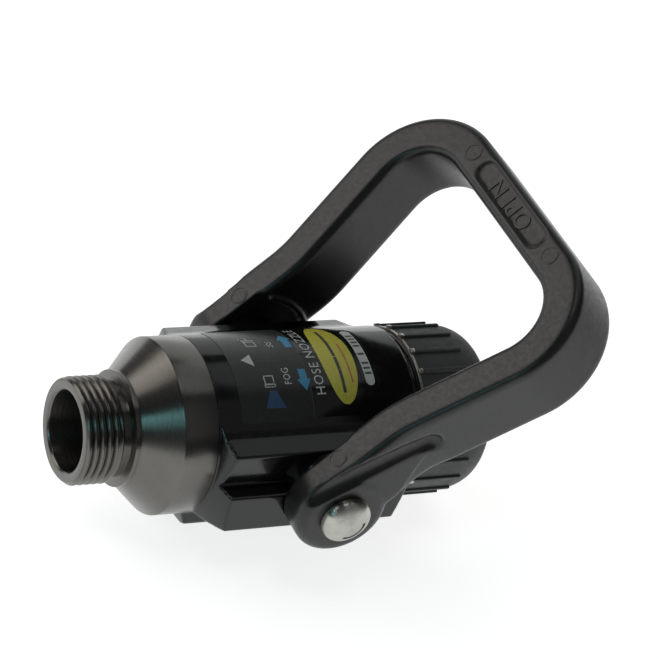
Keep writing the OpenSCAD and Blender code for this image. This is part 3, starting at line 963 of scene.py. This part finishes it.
class NOZZLE_OT_discharge(bpy.types.Operator):
    """Build the barrel, the baffle and its nut"""

    bl_idname = "nozzle.discharge"
    bl_label = "Barrel and Baffle"

    def execute(self, context):
        barrel = turned(
            [
                (94.4, 13.5),
                (94.4, 23.0),
                (100.4, 23.0),
                (100.4, 21.5),
                (133.5, 21.5),
                (133.5, 18.0),
                (127.5, 18.0),
                (108.4, 13.5),
            ],
            steps=160,
            round_by=0.25,
        )
        material = turned_metal("Barrel_Alloy", (0.05, 0.05, 0.055), (0.08, 0.08, 0.085), 0.25, 0.4)
        piece("Front_Barrel", barrel, "nozzle_body", material, ["front_barrel"])
        brass = turned_metal("Brass", (0.62, 0.45, 0.17), (0.72, 0.54, 0.24), 0.2, 0.36)
        baffle = turned(
            [
                (117, 3.0),
                (117, 5.0),
                (127, 5.5),
                (131.5, 11.0),
                (133.0, 15.0),
                (135.4, 15.0),
                (135.4, 12.0),
                (134.9, 11.0),
                (134.9, 6.5),
                (135.5, 6.0),
                (135.5, 3.0),
            ],
            steps=128,
            round_by=0.2,
        )
        piece("Baffle", baffle, "nozzle_body", brass, ["baffle"])
        nut = bmesh.new()
        bmesh.ops.create_cone(nut, cap_ends=True, segments=6, radius1=5, radius2=5, depth=3)
        sideways = Matrix.Rotation(math.pi / 2, 3, "Y")
        bmesh.ops.rotate(nut, cent=(0, 0, 0), matrix=sideways, verts=nut.verts[:])
        bmesh.ops.translate(nut, vec=(137.0, 0, 0), verts=nut.verts[:])
        round_edges(nut, 0.3, 2)
        stem = turned([(134, 0), (137.9, 0), (137.9, 2.9), (134, 2.9)], X_AXIS, 48, 0.25)
        bmesh.ops.translate(stem, vec=(0.75, 0, 0), verts=stem.verts[:])
        join(nut, stem)
        steel = turned_metal("Plain_Steel", (0.5, 0.5, 0.5), (0.6, 0.6, 0.6), 0.25, 0.4)
        piece("Stem_Nut", nut, "nozzle_body", steel, ["stem_nut"])
        return {"FINISHED"}


# ---- signs -------------------------------------------------------------------------------


def wrap(bm, radius, cell=1.2):
    """Bend a flat print, drawn as [x, arc length, height], around the waterway."""
    arcs = [v.co.y for v in bm.verts]
    at = math.floor(min(arcs) / cell) * cell
    while at < max(arcs):
        bmesh.ops.bisect_plane(
            bm,
            geom=bm.verts[:] + bm.edges[:] + bm.faces[:],
            plane_co=(0, at, 0),
            plane_no=(0, 1, 0),
            dist=1e-5,
        )
        at += cell
    for v in bm.verts:
        a, r = v.co.y / radius, radius + v.co.z
        v.co = (v.co.x, r * math.sin(a), r * math.cos(a))


def arc(degrees, radius=27.6):
    return math.radians(degrees) * radius


def print_outline(bm, outline):
    """Flat polygon from [x, degrees] points."""
    bm.faces.new([bm.verts.new((x, arc(a), 0)) for x, a in outline])


def print_stroke(bm, points, width, closed=False):
    """Line of constant width through [x, degrees] points, drawn as joined bars."""
    places = [Vector((x, arc(a), 0)) for x, a in points]
    pairs = list(zip(places, places[1:]))
    if closed:
        pairs.append((places[-1], places[0]))
    for a, b in pairs:
        along = (b - a).normalized() * (width / 2)
        side = Vector((-along.y, along.x, 0))
        corners = (a - along - side, b + along - side, b + along + side, a - along + side)
        bm.faces.new([bm.verts.new(c) for c in corners])


def thicken(bm, height):
    """Give flat faces a thickness."""
    made = bmesh.ops.extrude_face_region(bm, geom=bm.faces[:])["geom"]
    verts = [v for v in made if isinstance(v, bmesh.types.BMVert)]
    bmesh.ops.translate(bm, vec=(0, 0, height), verts=verts)


def stadium(bm, x, mid, wide, long):
    """Flat oval with straight sides, centred at [x, degrees]."""
    made = bmesh.ops.create_circle(bm, cap_ends=True, segments=48, radius=wide / 2)["verts"]
    for v in made:
        if abs(v.co.y) > 1e-4:
            v.co.y += math.copysign(long / 2 - wide / 2, v.co.y)
    bmesh.ops.translate(bm, vec=(x, arc(mid), 0), verts=made)


class NOZZLE_OT_signs(bpy.types.Operator):
    """Build the printed label, the signs on it and the stickers"""

    bl_idname = "nozzle.signs"
    bl_label = "Label and Signs"

    def execute(self, context):
        self.backing()
        self.white_signs()
        self.blue_signs()
        self.words()
        self.stickers()
        return {"FINISHED"}

    def print(self, name, bm, bottom, height, slot, material, nodes=()):
        thicken(bm, height)
        wrap(bm, bottom)
        return piece(name, bm, "nozzle_body", material, nodes)

    def backing(self):
        bm = bmesh.new()
        made = bmesh.ops.create_grid(bm, x_segments=1, y_segments=1, size=0.5)["verts"]
        bmesh.ops.scale(bm, vec=(25.4, arc(87), 1), verts=made)
        bmesh.ops.translate(bm, vec=(58.8, arc(LABEL_MID), 0), verts=made)
        bmesh.ops.bevel(
            bm, geom=made, offset=1.5, segments=5, profile=0.5, affect="VERTICES", material=-1
        )
        dark, light = (0.011, 0.012, 0.0125), (0.016, 0.017, 0.0175)
        film = printed_film("Label_Film", dark, light, 0.26, 0.36)
        self.print("Spray_Label", bm, 27.47, 0.11, "label_film", film, ["spray_label"])
        bm = bmesh.new()
        print_stroke(bm, [(46.3, -7.7), (70.6, -7.7)], 0.12)
        print_stroke(bm, [(71.3, -49.0), (71.3, 36.0)], 0.22)
        grey = printed_film("Label_Line", (0.05, 0.055, 0.055), (0.07, 0.075, 0.075))
        self.print("Label_Lines", bm, 27.57, 0.02, "label_film", grey)

    def white_signs(self):
        bm = bmesh.new()
        print_outline(bm, [(50.5, -6.4), (54.3, -11.7), (54.2, -1.7)])
        nozzle = [(56.0, -19.6), (56.0, -25.2), (59.1, -25.2), (59.1, -19.6)]
        print_stroke(bm, nozzle, 0.34, closed=True)
        collar = [(55.8, -25.6), (55.8, -27.4), (59.3, -27.4), (59.3, -25.6)]
        print_stroke(bm, collar, 0.34, closed=True)
        second = [(55.3, 6.5), (58.6, 6.5), (58.6, 11.6), (55.3, 11.6)]
        print_stroke(bm, second, 0.3, closed=True)
        print_stroke(bm, [(55.0, 12.2), (58.9, 12.2), (58.9, 13.8), (55.0, 13.8)], 0.3, closed=True)
        print_stroke(bm, [(54.4, 14.8), (54.4, 16.4)], 0.25)
        print_stroke(bm, [(56.9, 15.2), (56.9, 17.4)], 0.25)
        for x in (62.7, 63.9):
            points = [(x + 0.35 * math.sin(i * 1.3), 4.8 + i * 0.7) for i in range(9)]
            print_stroke(bm, points, 0.28)
        ink = printed_film("White_Ink", (0.50, 0.53, 0.52), (0.60, 0.62, 0.61))
        self.print("White_Signs", bm, 27.575, 0.03, "white_film", ink)

    def blue_signs(self):
        bm = bmesh.new()
        print_outline(
            bm,
            [
                (69.2, 18.8),
                (67.0, 11.6),
                (68.2, 11.8),
                (68.2, 3.4),
                (70.7, 3.4),
                (70.9, 12.6),
                (72.0, 13.2),
            ],
        )
        print_outline(
            bm,
            [
                (68.4, -15.7),
                (68.4, -23.2),
                (67.3, -23.3),
                (69.8, -31.0),
                (72.0, -23.2),
                (70.9, -23.2),
                (70.9, -15.8),
            ],
        )
        cyan = printed_film("Cyan_Ink", (0.035, 0.26, 0.47), (0.055, 0.31, 0.54))
        self.print("Cyan_Arrows", bm, 27.575, 0.03, "label_film", cyan)
        bm = bmesh.new()
        print_outline(bm, [(57.0, -29.6), (54.9, -41.1), (61.7, -41.4), (59.2, -29.6)])
        blue = printed_film("Blue_Ink", (0.022, 0.065, 0.15), (0.032, 0.08, 0.18))
        self.print("Blue_Spray_Sign", bm, 27.575, 0.03, "label_film", blue)

    def words(self):
        ink = printed_film("Word_Ink", (0.55, 0.57, 0.56), (0.65, 0.67, 0.66))
        self.text("Fog_Word", "FOG", 3.3, 64.1, -20.2, 0.85, ink)
        self.text("Name_Word", "HOSE NOZZLE", 4.6, 74.9, -3.0, 0.93, ink)

    def text(self, name, words, size, x, mid, stretch, ink):
        """Words that read from the -Y side to the +Y side."""
        obj = text_object(name, words, size, 0.03, stretch, 0.0)
        bm = bmesh.new()
        bm.from_mesh(obj.data)
        bmesh.ops.scale(bm, vec=(1 / MM, 1 / MM, 1 / MM), verts=bm.verts[:])
        flip = Matrix(((0, -1, 0), (1, 0, 0), (0, 0, 1)))
        bmesh.ops.rotate(bm, cent=(0, 0, 0), matrix=flip, verts=bm.verts[:])
        bmesh.ops.translate(bm, vec=(x, arc(mid), 0.015), verts=bm.verts[:])
        bpy.data.objects.remove(obj)
        wrap(bm, 27.58)
        piece(name, bm, "nozzle_body", ink)

    def stickers(self):
        bm = bmesh.new()
        made = bmesh.ops.create_circle(bm, cap_ends=True, segments=96, radius=1.0)["verts"]
        bmesh.ops.scale(bm, vec=(6.0, 17.6, 1), verts=made)
        bmesh.ops.translate(bm, vec=(83.5, arc(-5), 0), verts=made)
        yellow = printed_film("Yellow_Film", (0.60, 0.56, 0.07), (0.68, 0.63, 0.10), 0.25, 0.35)
        self.print("Blank_Sticker", bm, 27.47, 0.12, "yellow_film", yellow, ["blank_sticker"])
        bm = bmesh.new()
        stadium(bm, 92.9, -4.5, 3.2, 24.6)
        white = printed_film("White_Film", (0.58, 0.60, 0.58), (0.68, 0.70, 0.68), 0.3, 0.4)
        self.print("Serial_Sticker", bm, 27.47, 0.08, "white_film", white, ["serial_sticker"])
        bm = bmesh.new()
        for i in range(10):
            if i != 3 and i != 5:
                print_stroke(bm, [(92.1, -21.5 + i * 3.8), (93.7, -21.5 + i * 3.8)], 0.75)
        dark = printed_film("Dark_Ink", (0.05, 0.05, 0.05), (0.08, 0.08, 0.08))
        self.print("Serial_Bars", bm, 27.555, 0.02, "white_film", dark)
        bm = bmesh.new()
        for low, high in ((-33, -19), (-16.5, -9), (-6, 21)):
            print_stroke(bm, [(83.1, low), (83.1, high)], 1.1)
        self.print("Sticker_Bars", bm, 27.595, 0.02, "yellow_film", dark)
        bm = bmesh.new()
        for low, high in ((-27, -12), (-10, 4)):
            print_stroke(bm, [(86.5, low), (86.5, high)], 0.55)
        red = printed_film("Red_Ink", (0.55, 0.13, 0.05), (0.62, 0.18, 0.08))
        self.print("Sticker_Red_Bars", bm, 27.595, 0.02, "yellow_film", red)
        bm = bmesh.new()
        stadium(bm, 92.9, -5.5, 5.9, 28.0)
        hole = bm.faces[:]
        bmesh.ops.inset_region(bm, faces=hole, thickness=0.4, use_boundary=True)
        bmesh.ops.delete(bm, geom=hole, context="FACES")
        self.print("Serial_Pocket_Rim", bm, 27.4, 0.2, "moulded_shell", moulded_black("Rim_Black"))


# ---- inner pieces ------------------------------------------------------------------------


class NOZZLE_OT_inner(bpy.types.Operator):
    """Finish the pieces of the valve that stay as drawn in the frame"""

    bl_idname = "nozzle.inner"
    bl_label = "Inner Pieces"

    def execute(self, context):
        steel = turned_metal("Valve_Steel", (0.5, 0.5, 0.51), (0.62, 0.62, 0.63), 0.15, 0.3)
        chrome = turned_metal("Ball_Chrome", (0.6, 0.6, 0.62), (0.7, 0.7, 0.72), 0.06, 0.14)
        brass = turned_metal("Inner_Brass", (0.6, 0.43, 0.16), (0.7, 0.52, 0.22), 0.2, 0.36)
        dark, light = (0.008, 0.008, 0.008), (0.016, 0.016, 0.016)
        rubber = seal_material("Seal_Rubber", dark, light, 0.45, 0.6)
        polymer = seal_material("Seat_Polymer", (0.7, 0.68, 0.6), (0.78, 0.76, 0.68), 0.35, 0.5)
        finishes = {
            "ball": chrome,
            "trunnion": steel,
            "baffle_stem": steel,
            "snap_ring": steel,
            "cam_pins": steel,
            "stem_spider": brass,
            "barrel_retainer": brass,
            "seal": rubber,
            "seat": polymer,
            "washer": polymer,
        }
        for name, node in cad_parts.items():
            if node.hide_render:
                continue
            found = [m for key, m in finishes.items() if key in name and "seal" not in name]
            if "seal" in name:
                found = [rubber]
            node.data.materials.clear()
            node.data.materials.append(found[-1])
            node.data.shade_smooth()
            node.data.set_sharp_from_angle(angle=math.radians(30))
        return {"FINISHED"}


# ---- studio ------------------------------------------------------------------------------


class NOZZLE_OT_studio(bpy.types.Operator):
    """Build the floor, the soft lights and the camera"""

    bl_idname = "nozzle.studio"
    bl_label = "Studio"

    def execute(self, context):
        p = context.scene.nozzle_studio
        self.floor(p.floor_size / MM)
        self.world(context, p.world_grey)
        middle = Vector((0.075, 0, 0.02))
        key = Vector((-0.62, 0.62, 0.48))
        self.light("Window_Key", middle, key * 1.2, (0.78, 0.78), p.key_radiance, (1, 0.95, 0.9))
        self.light("Back_Panel", middle, (0.62, 0.95, 0.42), (1.5, 1.0), 0.72, (0.97, 1, 1))
        self.light("Top_Panel", middle, (0.6, 0.24, 1.0), (0.8, 0.8), 0.45, (0.97, 1, 1))
        self.light("Front_Fill", middle, (0.35, -0.75, 0.75), (1.0, 0.9), 0.12, (1, 0.98, 0.94))
        self.light("Teal_Strip", middle, (-0.8, -0.32, 0.41), (0.12, 0.36), 4.6, (0.38, 0.93, 1))
        self.light("Overhead", middle, (-0.1, 0.0, 1.6), (0.5, 0.5), 1.6, (1, 1, 1))
        self.camera(context, p.lens)
        context.scene.view_settings.view_transform = "Standard"
        return {"FINISHED"}

    def floor(self, size):
        bm = bmesh.new()
        bmesh.ops.create_grid(bm, x_segments=8, y_segments=8, size=size / 2)
        bmesh.ops.translate(bm, vec=(0, 0, -28.95), verts=bm.verts[:])
        obj = new_object("Floor", bm)
        obj.data.materials.append(floor_material())

    def world(self, context, grey):
        world = bpy.data.worlds.new("Studio_World")
        context.scene.world = world
        world.use_nodes = True
        background = world.node_tree.nodes["Background"]
        background.inputs["Color"].default_value = (0.97, 0.99, 1, 1)
        background.inputs["Strength"].default_value = grey

    def light(self, name, target, place, size, radiance, colour):
        data = bpy.data.lights.new(name, "AREA")
        data.shape = "RECTANGLE"
        data.size, data.size_y = size
        data.energy = radiance * math.pi * size[0] * size[1]
        data.color = colour
        obj = bpy.data.objects.new(name, data)
        obj.location = place
        obj.rotation_euler = (Vector(place) - target).to_track_quat("Z", "Y").to_euler()
        bpy.context.scene.collection.objects.link(obj)

    def camera(self, context, lens):
        data = bpy.data.cameras.new("Camera")
        data.lens = lens
        data.sensor_width = 36.0
        data.clip_start, data.clip_end = 0.05, 20.0
        obj = bpy.data.objects.new("Camera", data)
        right = Vector((0.86642, -0.40685, 0.28945))
        up = Vector((0.04331, 0.63876, 0.76818))
        back = right.cross(up)
        rotation = Matrix((right, up, back)).transposed().to_4x4()
        obj.matrix_world = Matrix.Translation((-0.35637, -0.57349, 0.53693)) @ rotation
        context.scene.collection.objects.link(obj)
        context.scene.camera = obj


# ---- panel and registration --------------------------------------------------------------

STEPS = (
    NOZZLE_OT_adapter,
    NOZZLE_OT_body,
    NOZZLE_OT_handle,
    NOZZLE_OT_screws,
    NOZZLE_OT_sleeve,
    NOZZLE_OT_bumper,
    NOZZLE_OT_discharge,
    NOZZLE_OT_signs,
    NOZZLE_OT_inner,
    NOZZLE_OT_studio,
)


class NOZZLE_PT_panel(bpy.types.Panel):
    """Buttons that build the nozzle"""

    bl_idname = "NOZZLE_PT_panel"
    bl_label = "Fog Nozzle"
    bl_space_type = "VIEW_3D"
    bl_region_type = "UI"
    bl_category = "Nozzle"

    def draw(self, context):
        layout = self.layout
        for group in (context.scene.nozzle_sizes, context.scene.nozzle_studio):
            column = layout.column(align=True)
            for name in group.bl_rna.properties.keys():
                if name not in ("rna_type", "name"):
                    column.prop(group, name)
        for step in STEPS:
            layout.operator(step.bl_idname)


CLASSES = (NozzleSizes, NozzleStudio, *STEPS, NOZZLE_PT_panel)


def register():
    for cls in CLASSES:
        bpy.utils.register_class(cls)
    bpy.types.Scene.nozzle_sizes = PointerProperty(type=NozzleSizes)
    bpy.types.Scene.nozzle_studio = PointerProperty(type=NozzleStudio)


def unregister():
    del bpy.types.Scene.nozzle_studio
    del bpy.types.Scene.nozzle_sizes
    for cls in reversed(CLASSES):
        bpy.utils.unregister_class(cls)


def main():
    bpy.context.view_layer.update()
    register()
    for step in STEPS:
        family, name = step.bl_idname.split(".")
        getattr(getattr(bpy.ops, family), name)()


if __name__ == "__main__":
    main()
